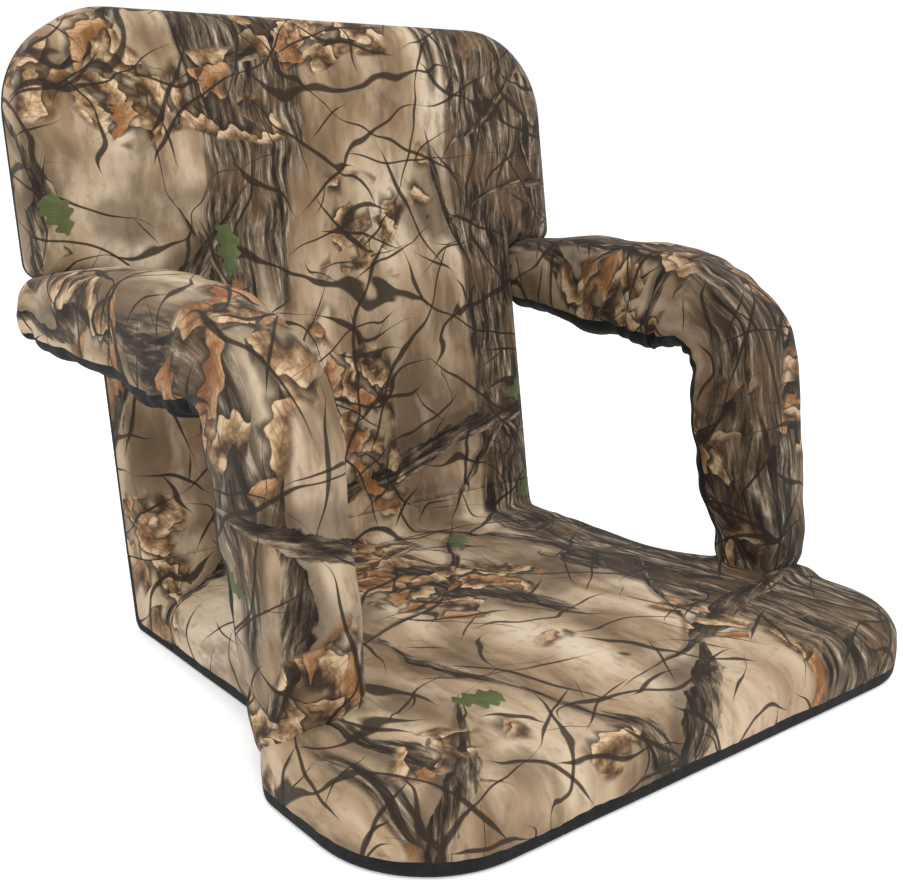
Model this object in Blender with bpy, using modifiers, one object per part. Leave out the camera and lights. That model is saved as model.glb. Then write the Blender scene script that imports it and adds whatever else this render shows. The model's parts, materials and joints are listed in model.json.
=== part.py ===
"""Padded folding stadium seat with reclining back and hinged, padded armrests.

Metres, +Z up. The seat rests on z = 0 with its front towards -Y. The origin is on the
underside, halfway along the seat. Each armrest and its post form a parallelogram with
the seat and the back: A is the back hinge, B the arm pivot on the back, C the elbow and
D the post pivot on the seat.
"""

import math

import bmesh
import bpy
from mathutils import Matrix, Vector

# ---- driving dimensions ----------------------------------------------------------
WIDTH = 0.530                     # over the shoulders of the seat and of the back
LANE = 0.055                      # width of the side notches that hold the armrests
SEAT_DEPTH = 0.457
SEAT_THICKNESS = 0.047
SEAT_SHOULDER = 0.121             # front part of the seat that has the full width
BACK_HEIGHT = 0.505               # along the back
BACK_THICKNESS = 0.053
BACK_SHOULDER_FROM = 0.297        # where the back widens, along the back
SEAT_CORNER_R = 0.080
BACK_CORNER_R = 0.082
RECLINE = math.radians(9.1)       # back from upright
REAR = SEAT_DEPTH / 2             # Y of the rear bottom corner

HINGE_INSET = 0.006               # axis A below the seat top and behind the back's front
HINGE_CLEAR = 0.030               # the pads end this far from axis A
TUBE_CLEAR = 0.018                # the frame tubes end this far from axis A
FOAM_BACK = 0.012                 # the foam starts this far inside its cover
CREASE_R = 0.020                  # fabric fillet between the seat and the back
ARM_PIVOT_DROP = 0.043            # B below the back's shoulder
ARM_PIVOT_AHEAD = 0.004           # B in front of the back's front face
POST_PIVOT_BEHIND = 0.0415         # D behind the seat's shoulder
POST_PIVOT_BELOW = 0.014          # D below the seat's top

PAN_HEIGHT = 0.006                # black underside and rear trays
FABRIC = 0.0015
TUBE_R = 0.008
TUBE_CENTRE = 0.0165              # tube axis above the underside, or ahead of the rear
RAIL_X = 0.190                    # seat rail axis from the middle
BACK_RAIL_X = RAIL_X - 0.0043     # back uprights sit one hinge plate further in
PLATE = 0.0038
GAP = 0.0003                      # between pieces that touch
PAD_RIM = 0.018                   # rounding of the cushions' rims
PAN_RIM = 0.003

HINGE_DISC_R = 0.011
HINGE_TAB_R = 0.006
BAR_R = 0.009                     # half the height of the armrest bars
BAR = 0.004                       # their thickness
BOLT_R = 0.004
STUB_R = 0.006
SLEEVE_WALL = 0.004               # foam-lined sleeve
SLEEVE_WIDTH = 0.068
SLEEVE_RIM = 0.018
BOOT_WIDTH = 0.052
BOOT_RIM = 0.012
SLEEVE_TOP = 0.047                # sleeve above axis B, at the back
SLEEVE_BOTTOM = 0.019
ELBOW_ABOVE = 0.054               # the same at the elbow, above and below the arm's axis
ELBOW_BELOW = 0.023
ELBOW_FRONT = 0.041               # and in front of and behind the post's axis
ELBOW_BEHIND = 0.037
ELBOW_CUT = 0.058                 # corner taken off the outside of the elbow
MITRE_SPARE = 0.020               # sleeves are made this much too long, then mitred
POST_FRONT = 0.0395                # sleeve around axis D, at the seat
POST_REAR = 0.0115
ARM_BOOT = 0.038                  # the boot ends this far ahead of B
POST_END = 0.020                  # the post's sleeve ends this far above D
FLARE_REAR = 0.052                # Y where the seat starts to widen towards its shoulder
FLARE_CLEAR = 0.001               # the flare's pocket stops this far inside the seat's height

SMOOTH = math.radians(35)

# ---- derived points in the side view, as (y, z) -----------------------------------
HALF = WIDTH / 2
WAIST = HALF - LANE
LANE_X = HALF - LANE / 2


def on_back(up, ahead):
    """Side-view point `up` along the back and `ahead` of its rear face."""
    sine, cosine = math.sin(RECLINE), math.cos(RECLINE)
    return Vector((REAR + up * sine - ahead * cosine, up * cosine + ahead * sine))


CREASE_UP = (SEAT_THICKNESS - BACK_THICKNESS * math.sin(RECLINE)) / math.cos(RECLINE)
HINGE_UP = CREASE_UP - HINGE_INSET
HINGE_AHEAD = BACK_THICKNESS - HINGE_INSET
A = on_back(HINGE_UP, HINGE_AHEAD)
B = on_back(BACK_SHOULDER_FROM - ARM_PIVOT_DROP, BACK_THICKNESS + ARM_PIVOT_AHEAD)
SEAT_SHOULDER_Y = REAR - SEAT_DEPTH + SEAT_SHOULDER
D = Vector((SEAT_SHOULDER_Y + POST_PIVOT_BEHIND, SEAT_THICKNESS - POST_PIVOT_BELOW))
C = B + (D - A)

COLOURS = {                       # base colour, roughness, metallic
    "print_fabric": ((0.33, 0.26, 0.19), 0.9, 0.0),
    "black_fabric": ((0.02, 0.02, 0.02), 0.9, 0.0),
    "foam": ((0.55, 0.52, 0.45), 0.95, 0.0),
    "webbing": ((0.05, 0.05, 0.05), 0.85, 0.0),
    "black_steel": ((0.03, 0.03, 0.03), 0.45, 0.8),
    "zinc_steel": ((0.55, 0.55, 0.53), 0.35, 1.0),
}


# ---- scene and materials ------------------------------------------------------------
def clear_scene():
    for item in list(bpy.data.objects):
        bpy.data.objects.remove(item, do_unlink=True)


def new_collection(name):
    found = bpy.data.collections.get(name) or bpy.data.collections.new(name)
    if found.name not in bpy.context.scene.collection.children:
        bpy.context.scene.collection.children.link(found)
    return found


def material(name):
    found = bpy.data.materials.get(name)
    if found:
        return found
    colour, roughness, metallic = COLOURS[name]
    found = bpy.data.materials.new(name)
    found.use_nodes = True
    shader = found.node_tree.nodes["Principled BSDF"]
    shader.inputs["Base Color"].default_value = (*colour, 1)
    shader.inputs["Roughness"].default_value = roughness
    shader.inputs["Metallic"].default_value = metallic
    return found


clear_scene()
PARTS = new_collection("stadium_seat")
CUTTERS = new_collection("cutters")


def empty(name, matrix, parent=None):
    made = bpy.data.objects.new(name, None)
    made.empty_display_size = 0.03
    PARTS.objects.link(made)
    made.parent = parent
    made.matrix_world = matrix
    bpy.context.view_layer.update()
    return made


def finish(mesh, name, slot, parent, matrix):
    """Puts `mesh`, drawn in `matrix`'s frame, into the scene under `parent`."""
    made = bpy.data.objects.new(name, mesh)
    PARTS.objects.link(made)
    made.data.materials.append(material(slot))
    made.data.shade_smooth()
    made.data.set_sharp_from_angle(angle=SMOOTH)
    made.parent = parent
    made.matrix_world = matrix
    bpy.context.view_layer.update()
    return made


# ---- outlines -----------------------------------------------------------------------
def rounded(corners, step=math.radians(22)):
    """Closed outline through (x, y, radius) corners, each rounded by an arc."""
    points = []
    for index, (x, y, radius) in enumerate(corners):
        here = Vector((x, y))
        if radius == 0:
            points.append(here)
            continue
        before = (Vector(corners[index - 1][:2]) - here).normalized()
        after = (Vector(corners[(index + 1) % len(corners)][:2]) - here).normalized()
        half = before.angle(after) / 2
        centre = here + (before + after).normalized() * (radius / math.sin(half))
        first = here + before * (radius / math.tan(half)) - centre
        turn = math.pi - 2 * half
        sign = 1 if before.x * after.y - before.y * after.x < 0 else -1
        count = max(2, math.ceil(turn / step))
        for k in range(count + 1):
            spin = Matrix.Rotation(sign * turn * k / count, 2)
            points.append(centre + spin @ first)
    return points


def mirrored(right):
    """Outline from its right half's (x, y, radius) corners, listed from rear to front."""
    return rounded(right + [(-x, y, radius) for x, y, radius in reversed(right)])


def capsule(start, end, start_r, end_r, sides=8):
    """Outline around two discs, such as a link or a hinge plate."""
    run = end - start
    heading = math.atan2(run.y, run.x)
    lean = math.asin((start_r - end_r) / run.length)
    points = []
    for centre, radius, first in (
        (end, end_r, heading - math.pi / 2 + lean),
        (start, start_r, heading + math.pi / 2 - lean),
    ):
        sweep = math.pi - 2 * lean if centre is end else math.pi + 2 * lean
        for k in range(sides + 1):
            angle = first + sweep * k / sides
            points.append(centre + radius * Vector((math.cos(angle), math.sin(angle))))
    return points


def is_level(face):
    heights = [vert.co.z for vert in face.verts]
    return max(heights) - min(heights) < 1e-6


def extruded(outline, low, high):
    """Solid between local z = low and z = high, as a bmesh, from a filled 2D curve."""
    curve = bpy.data.curves.new("outline", "CURVE")
    curve.dimensions = "2D"
    curve.fill_mode = "BOTH"
    curve.extrude = (high - low) / 2
    spline = curve.splines.new("POLY")
    spline.points.add(len(outline) - 1)
    for point, corner in zip(spline.points, outline):
        point.co = (corner[0], corner[1], 0, 1)
    spline.use_cyclic_u = True
    holder = bpy.data.objects.new("outline", curve)
    PARTS.objects.link(holder)
    graph = bpy.context.evaluated_depsgraph_get()
    mesh = bpy.data.meshes.new_from_object(holder.evaluated_get(graph))
    bpy.data.objects.remove(holder, do_unlink=True)
    bpy.data.curves.remove(curve)
    solid = bmesh.new()
    solid.from_mesh(mesh)
    bpy.data.meshes.remove(mesh)
    bmesh.ops.remove_doubles(solid, verts=solid.verts, dist=1e-5)
    inside = [
        edge for edge in solid.edges if all(is_level(face) for face in edge.link_faces)
    ]
    bmesh.ops.dissolve_edges(solid, edges=inside, use_verts=False)
    bmesh.ops.translate(solid, verts=solid.verts, vec=(0, 0, (low + high) / 2))
    bmesh.ops.recalc_face_normals(solid, faces=solid.faces)
    return solid


def round_rims(solid, heights, radius, segments=3):
    """Rounds the rim edges that lie at the given local z heights."""
    rims = [
        edge for edge in solid.edges
        if any(all(abs(v.co.z - z) < 1e-5 for v in edge.verts) for z in heights)
        and len(edge.link_faces) == 2
        and abs(edge.link_faces[0].normal.z - edge.link_faces[1].normal.z) > 0.5
    ]
    bmesh.ops.bevel(
        solid, geom=rims, offset=radius, segments=segments, profile=0.5,
        affect="EDGES", clamp_overlap=True,
    )
    bmesh.ops.dissolve_degenerate(solid, dist=1e-5, edges=solid.edges)


def to_mesh(solid, name):
    mesh = bpy.data.meshes.new(name)
    solid.to_mesh(mesh)
    solid.free()
    return mesh


def block(name, slot, parent, matrix, outline, low, high, rim=0.0, heights=None):
    """Solid slab with rounded rims."""
    solid = extruded(outline, low, high)
    if rim:
        round_rims(solid, heights or (low, high), rim)
    return finish(to_mesh(solid, name), name, slot, parent, matrix)


def shell(name, slot, parent, matrix, outline, low, high, rims, rim, wall, is_open):
    """Hollow slab, open where is_open(face) holds, with its wall inside the outline."""
    solid = extruded(outline, low, high)
    openings = [face for face in solid.faces if is_open(face)]
    bmesh.ops.delete(solid, geom=openings, context="FACES")
    round_rims(solid, rims, rim)
    made = finish(to_mesh(solid, name), name, slot, parent, matrix)
    thick = made.modifiers.new("wall", "SOLIDIFY")
    thick.thickness = wall
    thick.offset = -1
    thick.use_even_offset = True
    return made


def rod(name, slot, parent, x_from, x_to, centre, radius, sides=16):
    """Round bar along X, centred on a side-view point."""
    solid = bmesh.new()
    bmesh.ops.create_cone(
        solid, cap_ends=True, segments=sides, radius1=radius, radius2=radius,
        depth=abs(x_to - x_from),
    )
    place = Matrix.Translation(((x_from + x_to) / 2, centre.x, centre.y))
    turn = Matrix.Rotation(math.pi / 2, 4, "Y")
    return finish(to_mesh(solid, name), name, slot, parent, place @ turn)


def use_as_cutter(tool, target):
    PARTS.objects.unlink(tool)
    CUTTERS.objects.link(tool)
    tool.hide_render = True
    tool.display_type = "WIRE"
    removal = target.modifiers.new("cut", "BOOLEAN")
    removal.operation = "DIFFERENCE"
    removal.object = tool


def cut(target, centre, radius, x_from, x_to):
    """Cuts a round hole along X through `target`."""
    name = f"{target.name}_hole_{len(CUTTERS.objects)}"
    tool = rod(name, "zinc_steel", None, x_from, x_to, centre, radius, 20)
    use_as_cutter(tool, target)


def bent_tube(name, parent, matrix, path, radius):
    """Round tube of the frame along (x, y) corners with bends, in matrix's frame."""
    curve = bpy.data.curves.new(name, "CURVE")
    curve.dimensions = "3D"
    curve.bevel_depth = radius
    curve.bevel_resolution = 2
    curve.use_fill_caps = True
    spline = curve.splines.new("POLY")
    spline.points.add(len(path) - 1)
    for point, (x, y) in zip(spline.points, path):
        point.co = (x, y, TUBE_CENTRE, 1)
    holder = bpy.data.objects.new(name, curve)
    PARTS.objects.link(holder)
    graph = bpy.context.evaluated_depsgraph_get()
    mesh = bpy.data.meshes.new_from_object(holder.evaluated_get(graph))
    bpy.data.objects.remove(holder, do_unlink=True)
    bpy.data.curves.remove(curve)
    solid = bmesh.new()
    solid.from_mesh(mesh)
    bpy.data.meshes.remove(mesh)
    bmesh.ops.remove_doubles(solid, verts=solid.verts, dist=1e-5)
    return finish(to_mesh(solid, name), name, "black_steel", parent, matrix)


# ---- frames of reference --------------------------------------------------------------
SEAT = Matrix.Identity(4)
# local X across, local Y up the back, local Z out of its front, measured from its rear foot
BACK = Matrix.Translation((0, REAR, 0)) @ Matrix.Rotation(math.pi / 2 - RECLINE, 4, "X")
# local X = world Y, local Y = world Z, local Z = world X: outlines in the side view
SIDE = Matrix(((0, 0, 1, 0), (1, 0, 0, 0), (0, 1, 0, 0), (0, 0, 0, 1)))

seat_pivot = empty("seat_origin", SEAT)
back_pivot = empty("back_hinge_axis", Matrix.Translation((0, A.x, A.y)))


def seat_outline(inset, rear, rear_r=0.0):
    """Plan of the seat, from its rear edge at y = rear, narrow beside the armrests."""
    front = REAR - SEAT_DEPTH + inset
    return mirrored([
        (WAIST - inset, rear, rear_r),
        (WAIST - inset, SEAT_SHOULDER_Y - inset, 0.006),
        (HALF - inset, SEAT_SHOULDER_Y - inset, 0.024),
        (HALF - inset, front, SEAT_CORNER_R - inset),
    ])


def back_outline(inset, foot):
    """Front view of the back, from its foot up, wide above the armrests."""
    return mirrored([
        (HALF - inset, BACK_HEIGHT - inset, BACK_CORNER_R - inset),
        (HALF - inset, BACK_SHOULDER_FROM + inset, 0.024),
        (WAIST - inset, BACK_SHOULDER_FROM + inset, 0.006),
        (WAIST - inset, foot, 0.0),
    ])


def faces_up(face):
    return face.normal.z > 0.9


def open_below_and_at(end):
    """Opening of a cushion's cover: its flat side, and its end at local y = end."""
    def test(face):
        at_end = abs(face.calc_center_median().y - end) < 1e-4
        return face.normal.z < -0.9 or at_end
    return test


# ---- cushions -------------------------------------------------------------------------
SUPPORT_LOW = TUBE_CENTRE + TUBE_R + GAP
SUPPORT_HIGH = SUPPORT_LOW + 0.0022
COVER_LOW = PAN_HEIGHT + GAP
SEAT_REAR_END = A.x - HINGE_CLEAR
BACK_FOOT = HINGE_UP + HINGE_CLEAR
COVER_INSET = FABRIC + 2 * GAP


def cushion(prefix, parent, matrix, outline, end, thickness, support_outline):
    """Cover, foam and support sheet of the seat or of the back."""
    shell(
        f"{prefix}_cover", "print_fabric", parent, matrix, outline(0, end),
        COVER_LOW, thickness, (thickness,), PAD_RIM, FABRIC, open_below_and_at(end),
    )
    inner = end + (FOAM_BACK if prefix == "back" else -FOAM_BACK)
    block(
        f"{prefix}_foam", "foam", parent, matrix, outline(COVER_INSET, inner),
        SUPPORT_HIGH + GAP, thickness - COVER_INSET, PAD_RIM, (thickness - COVER_INSET,),
    )
    block(
        f"{prefix}_support_sheet", "webbing", parent, matrix, support_outline,
        SUPPORT_LOW, SUPPORT_HIGH,
    )


def u_frame(prefix, parent, matrix, rail_x, far, near, bend):
    """U-shaped tube frame and the cross tube that closes it."""
    toward = 1 if far > near else -1
    corner = far - toward * bend
    path = [(rail_x, near)]
    for k in range(7):
        angle = math.pi / 2 * k / 6
        path.append((
            rail_x - bend + bend * math.cos(angle), corner + toward * bend * math.sin(angle)
        ))
    path += [(-x, y) for x, y in reversed(path)]
    bent_tube(f"{prefix}_frame_tube", parent, matrix, path, TUBE_R)
    cross = near + toward * 0.04
    reach = rail_x - TUBE_R - GAP
    bent_tube(
        f"{prefix}_cross_tube", parent, matrix, [(reach, cross), (-reach, cross)],
        TUBE_R - 0.001,
    )


def seat():
    low_end = SEAT_REAR_END - FOAM_BACK
    front = REAR - SEAT_DEPTH + 0.030
    edge = RAIL_X + TUBE_R - 0.001
    cushion(
        "seat", seat_pivot, SEAT, seat_outline, SEAT_REAR_END, SEAT_THICKNESS,
        rounded([
            (edge, low_end, 0), (-edge, low_end, 0),
            (-edge, front, 0.05), (edge, front, 0.05),
        ]),
    )
    shell(
        "seat_bottom_pan", "black_fabric", seat_pivot, SEAT,
        seat_outline(0.001, REAR, 0.006), 0, PAN_HEIGHT, (0,), PAN_RIM, FABRIC, faces_up,
    )
    u_frame("seat", seat_pivot, SEAT, RAIL_X, front, A.x - TUBE_CLEAR, 0.055)


def back():
    top = BACK_HEIGHT - 0.030
    edge = BACK_RAIL_X + TUBE_R - 0.001
    foot = BACK_FOOT + FOAM_BACK
    cushion(
        "back", back_pivot, BACK, back_outline, BACK_FOOT, BACK_THICKNESS,
        rounded([
            (edge, foot, 0), (edge, top, 0.05), (-edge, top, 0.05), (-edge, foot, 0),
        ]),
    )
    shell(
        "back_rear_panel", "black_fabric", back_pivot, BACK,
        back_outline(0.001, BACK_FOOT), 0, PAN_HEIGHT, (0,), PAN_RIM, FABRIC, faces_up,
    )
    u_frame("back", back_pivot, BACK, BACK_RAIL_X, top, HINGE_UP + TUBE_CLEAR, 0.055)


def hinge_cover():
    """Soft duct around the hinge line, open towards the seat and towards the back."""
    seat_end = SEAT_REAR_END + 0.0005
    back_end = BACK_FOOT - 0.0005
    front = on_back(back_end, BACK_THICKNESS)
    rear = on_back(back_end, 0)
    crease = on_back(CREASE_UP, BACK_THICKNESS)
    low = COVER_LOW
    outline = rounded([
        (seat_end, SEAT_THICKNESS, 0), (seat_end, low, 0), (*on_back(low, 0), 0.006),
        (*rear, 0), (*front, 0), (*crease, CREASE_R),
    ])
    back_way = (on_back(1, 0) - on_back(0, 0)).normalized()
    seat_way = Vector((-1, 0))

    def open_end(face):
        way = Vector((face.normal.x, face.normal.y))
        return way.dot(seat_way) > 0.999 or way.dot(back_way) > 0.999

    shell(
        "hinge_cover", "print_fabric", back_pivot, SIDE, outline, -WAIST, WAIST,
        (-WAIST, WAIST), 0.003, FABRIC, open_end,
    )


# ---- side hardware and armrests ---------------------------------------------------------
def side_plate(name, slot, parent, outline, side, x_from, x_to):
    """Flat plate standing in the YZ plane on one side of the seat."""
    low, high = sorted((side * x_from, side * x_to))
    return block(name, slot, parent, SIDE, outline, low, high)


def hinge(prefix, side):
    """Ratchet hinge inside the covers: a plate on each tube, and a rivet on axis A."""
    outer = RAIL_X - TUBE_R - GAP
    middle = outer - PLATE - 0.0002
    seat_tab = Vector((SEAT_REAR_END, TUBE_CENTRE))
    back_tab = on_back(BACK_FOOT, TUBE_CENTRE)
    planes = (
        ("seat", seat_pivot, seat_tab, outer - PLATE, outer),
        ("back", back_pivot, back_tab, middle - PLATE, middle),
    )
    for which, parent, tab, x_from, x_to in planes:
        plate = side_plate(
            f"{prefix}_hinge_{which}_plate", "black_steel", parent,
            capsule(A, tab, HINGE_DISC_R, HINGE_TAB_R), side, x_from, x_to,
        )
        cut(plate, A, BOLT_R + GAP, side * (x_from - 0.01), side * (x_to + 0.01))
    rod(
        f"{prefix}_hinge_rivet", "zinc_steel", seat_pivot,
        side * (middle - PLATE - 0.002), side * (outer + 0.002), A, BOLT_R,
    )


def bolt(name, parent, side, centre, x_from, x_to):
    """Pivot bolt along X with a round head at its inner end and a nut at the other."""
    head_r, head = BOLT_R * 1.75, 0.003
    profile = [
        (0, x_to + head), (head_r, x_to + head), (head_r, x_to), (BOLT_R, x_to),
        (BOLT_R, x_from), (head_r, x_from), (head_r, x_from - head), (0, x_from - head),
    ]
    mesh = bpy.data.meshes.new(name)
    line = bmesh.new()
    made = [line.verts.new((radius, 0, along)) for radius, along in profile]
    for first, second in zip(made, made[1:]):
        line.edges.new((first, second))
    line.to_mesh(mesh)
    line.free()
    turn = Matrix.Rotation(side * math.pi / 2, 4, "Y")
    place = Matrix.Translation((0, centre.x, centre.y)) @ turn
    holder = finish(mesh, name, "zinc_steel", parent, place)
    screw = holder.modifiers.new("turned", "SCREW")
    screw.steps = 14
    screw.render_steps = 14
    screw.use_merge_vertices = True
    screw.merge_threshold = 0.0001
    return holder


def meeting(first, first_way, second, second_way):
    """Point where two side-view lines cross."""
    across = first_way.x * second_way.y - first_way.y * second_way.x
    apart = second - first
    return first + first_way * ((apart.x * second_way.y - apart.y * second_way.x) / across)


def limb_outlines():
    """Side views of the arm's and the post's sleeve, mitred at the elbow."""
    arm = (C - B).normalized()
    post = (D - C).normalized()
    arm_out = Vector((arm.y, -arm.x))
    post_out = Vector((post.y, -post.x))
    arm_end = B + arm * (ARM_BOOT + GAP)
    post_end = D - post * POST_END
    top = B + arm_out * SLEEVE_TOP
    top_way = (C + arm_out * ELBOW_ABOVE - top).normalized()
    bottom = B - arm_out * SLEEVE_BOTTOM
    bottom_way = (C - arm_out * ELBOW_BELOW - bottom).normalized()
    front = D + post_out * POST_FRONT
    front_way = (C + post_out * ELBOW_FRONT - front).normalized()
    rear = D - post_out * POST_REAR
    rear_way = (C - post_out * ELBOW_BEHIND - rear).normalized()
    outer = meeting(top, top_way, front, front_way)
    inner = meeting(bottom, bottom_way, rear, rear_way)
    mitre = (inner - outer).normalized()
    corner = outer + mitre * (ELBOW_CUT * 0.5)
    arm_cut = outer - top_way * ELBOW_CUT
    post_cut = outer - front_way * ELBOW_CUT
    past = MITRE_SPARE
    arm_outline = [
        meeting(top, top_way, arm_end, arm_out),
        meeting(bottom, bottom_way, arm_end, arm_out),
        inner + bottom_way * past, corner + (corner - arm_cut).normalized() * past, arm_cut,
    ]
    post_outline = [
        post_cut, corner + (corner - post_cut).normalized() * past, inner + rear_way * past,
        meeting(rear, rear_way, post_end, post_out),
        meeting(front, front_way, post_end, post_out),
    ]
    arm_boot = rounded([
        (*(B + arm * ARM_BOOT + arm_out * SLEEVE_TOP), 0),
        (*on_back(BACK_SHOULDER_FROM - 0.002, BACK_THICKNESS + 0.002), 0),
        (*on_back(BACK_SHOULDER_FROM - 0.004, 0.001), 0.016),
        (*on_back(BACK_SHOULDER_FROM - 0.052, 0.001), 0.020),
        (*(B + arm * ARM_BOOT - arm_out * (SLEEVE_BOTTOM + 0.001)), 0),
    ])
    ends = {
        "arm_sleeve": (-arm, square_to(arm_outline[3] - arm_outline[2], arm)),
        "post_sleeve": (post, square_to(post_outline[2] - post_outline[1], -post)),
        "arm_boot": (arm,),
    }
    return arm_outline, post_outline, arm_boot, ends, ((inner + outer) / 2, mitre)


def square_to(run, toward):
    """Unit vector square to `run`, on the side that `toward` points to."""
    way = Vector((-run.y, run.x)).normalized()
    return way if way.dot(toward) > 0 else -way


def open_towards(ways):
    """Opening of a sleeve: the faces that look in one of the given directions."""
    def test(face):
        way = Vector((face.normal.x, face.normal.y))
        return any(way.dot(other) > 0.995 for other in ways)
    return test


def cut_at_mitre(target, point, mitre, toward):
    """Trims a sleeve at the elbow's mitre plane, keeping the half-gap to its neighbour."""
    away = square_to(mitre, toward)
    size = 0.2
    solid = bmesh.new()
    bmesh.ops.create_cube(solid, size=size)
    centre = point + away * (size / 2 - GAP)
    x_way = Vector((0, away.x, away.y))
    y_way = Vector((0, mitre.x, mitre.y))
    z_way = x_way.cross(y_way)
    turn = Matrix((x_way, y_way, z_way)).transposed().to_4x4()
    place = Matrix.Translation((0, centre.x, centre.y)) @ turn
    name = f"{target.name}_mitre"
    tool = finish(to_mesh(solid, name), name, "zinc_steel", None, place)
    for vert in tool.data.vertices:
        vert.co.z *= 4
    use_as_cutter(tool, target)


def armrest(prefix, side):
    """Bars, brackets, pivots and padded sleeves of one armrest."""
    arm_pivot = empty(
        f"{prefix}_arm_axis", Matrix.Translation((side * LANE_X, B.x, B.y)), back_pivot
    )
    elbow = empty(
        f"{prefix}_elbow_axis", Matrix.Translation((side * LANE_X, C.x, C.y)), arm_pivot
    )
    inner = (LANE_X - GAP - BAR, LANE_X - GAP)
    outer = (LANE_X + GAP, LANE_X + GAP + BAR)
    arm_root = on_back(BACK_SHOULDER_FROM - ARM_PIVOT_DROP, TUBE_CENTRE)
    post_root = Vector((D.x, TUBE_CENTRE))
    links = (
        ("arm_bracket", back_pivot, arm_root, B, 0.0085, inner, (B,)),
        ("arm_bar", arm_pivot, B, C, BAR_R, outer, (B, C)),
        ("post_bar", elbow, C, D, BAR_R, inner, (C, D)),
        ("post_bracket", seat_pivot, post_root, D, 0.0085, outer, (D,)),
    )
    for name, parent, start, end, start_r, (x_from, x_to), holes in links:
        plate = side_plate(
            f"{prefix}_{name}", "black_steel", parent,
            capsule(start, end, start_r, BAR_R), side, x_from, x_to,
        )
        for centre in holes:
            cut(plate, centre, BOLT_R + GAP, side * (x_from - 0.01), side * (x_to + 0.01))
    shank = (inner[0] - GAP, outer[1] + GAP)
    bolt(f"{prefix}_arm_bolt", back_pivot, side, B, *shank)
    bolt(f"{prefix}_elbow_rivet", arm_pivot, side, C, *shank)
    bolt(f"{prefix}_post_bolt", seat_pivot, side, D, *shank)
    arm_outline, post_outline, arm_boot, ends, joint = limb_outlines()
    soft = (
        ("arm_sleeve", arm_pivot, arm_outline, SLEEVE_WIDTH, SLEEVE_RIM, SLEEVE_WALL),
        ("post_sleeve", elbow, post_outline, SLEEVE_WIDTH, SLEEVE_RIM, SLEEVE_WALL),
        ("arm_boot", back_pivot, arm_boot, BOOT_WIDTH, BOOT_RIM, FABRIC),
    )
    made = {}
    for name, parent, outline, width, rim, wall in soft:
        low, high = sorted((side * (HALF - 2 * GAP), side * (HALF - 2 * GAP - width)))
        made[name] = shell(
            f"{prefix}_{name}", "print_fabric", parent, SIDE, outline, low, high,
            (low, high), rim, wall, open_towards(ends[name]),
        )
    inside, shoulder = WAIST + GAP, SEAT_SHOULDER_Y + GAP
    made["post_boot"] = shell(
        f"{prefix}_post_boot", "print_fabric", seat_pivot, SEAT, rounded([
            (side * inside, FLARE_REAR, 0), (side * inside, shoulder, 0.009),
            (side * HALF, shoulder, 0.003),
        ]),
        FLARE_CLEAR, SEAT_THICKNESS - FLARE_CLEAR, (FLARE_CLEAR,), 0.002, FABRIC, faces_up,
    )
    cut_at_mitre(made["arm_sleeve"], *joint, C - B)
    cut_at_mitre(made["post_sleeve"], *joint, C - D)
    stubs = (
        ("arm_stub", back_pivot, arm_root, BACK_RAIL_X, inner[0], "arm_boot", "back_cover"),
        ("post_stub", seat_pivot, post_root, RAIL_X, outer[0], "post_boot", "seat_cover"),
    )
    for name, parent, centre, rail, plate_face, boot, cover in stubs:
        x_from, x_to = rail + TUBE_R + GAP, plate_face - GAP
        rod(
            f"{prefix}_{name}", "black_steel", parent, side * x_from, side * x_to,
            centre, STUB_R,
        )
        for target in (made[boot], bpy.data.objects[cover]):
            cut(target, centre, STUB_R + GAP, side * (x_from + 0.002), side * (x_to - 0.003))


seat()
back()
hinge_cover()
for prefix, side in (("left", 1), ("right", -1)):
    hinge(prefix, side)
    armrest(prefix, side)
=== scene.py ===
"""Looks of the padded folding stadium seat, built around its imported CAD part."""

import json
import math

import bpy
import numpy as np
from mathutils import Matrix, Vector
from mathutils.geometry import delaunay_2d_cdt


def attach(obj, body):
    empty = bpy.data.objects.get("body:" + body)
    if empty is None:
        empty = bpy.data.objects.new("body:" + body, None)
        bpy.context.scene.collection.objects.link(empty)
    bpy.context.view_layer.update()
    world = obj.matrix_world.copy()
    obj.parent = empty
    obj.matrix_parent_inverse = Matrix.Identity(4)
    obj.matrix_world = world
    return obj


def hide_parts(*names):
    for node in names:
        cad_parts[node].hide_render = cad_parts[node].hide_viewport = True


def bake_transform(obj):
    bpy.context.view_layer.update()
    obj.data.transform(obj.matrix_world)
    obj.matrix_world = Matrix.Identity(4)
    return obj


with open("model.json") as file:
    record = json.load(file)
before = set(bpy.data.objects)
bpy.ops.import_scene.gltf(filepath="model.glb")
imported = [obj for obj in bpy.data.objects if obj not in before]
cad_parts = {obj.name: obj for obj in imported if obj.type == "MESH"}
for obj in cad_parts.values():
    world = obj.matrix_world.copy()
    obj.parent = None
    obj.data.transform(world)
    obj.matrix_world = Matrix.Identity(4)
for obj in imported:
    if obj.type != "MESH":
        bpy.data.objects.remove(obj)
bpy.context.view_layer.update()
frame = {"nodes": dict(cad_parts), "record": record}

# ---- dimensions of the CAD part, in metres ------------------------------------------------
HALF = 0.265                      # half width over the shoulders and the seat's front
WAIST = 0.210                     # half width behind and below the armrests
SEAT_TOP = 0.047
REAR = 0.2285
FRONT = -0.2285
RIM = (0.023, 0.020)              # rounding of the cushions' upper rims, across and down
LOW_RIM = 0.004                   # rounding of their lower rims
SEAT_BAND = 0.0105                # the dark bindings reach this far up the sides
BACK_BAND = 0.0085
BACK_T = 0.053
BACK_H = 0.505
SHOULDER = 0.297                  # the back is wide from here up
RECLINE = math.radians(9.1)
JOINTS = {j["name"]: j for j in frame["record"]["behaviour"]["joints"]}
A = np.array(JOINTS["back_hinge"]["pos_m"][1:])
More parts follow.
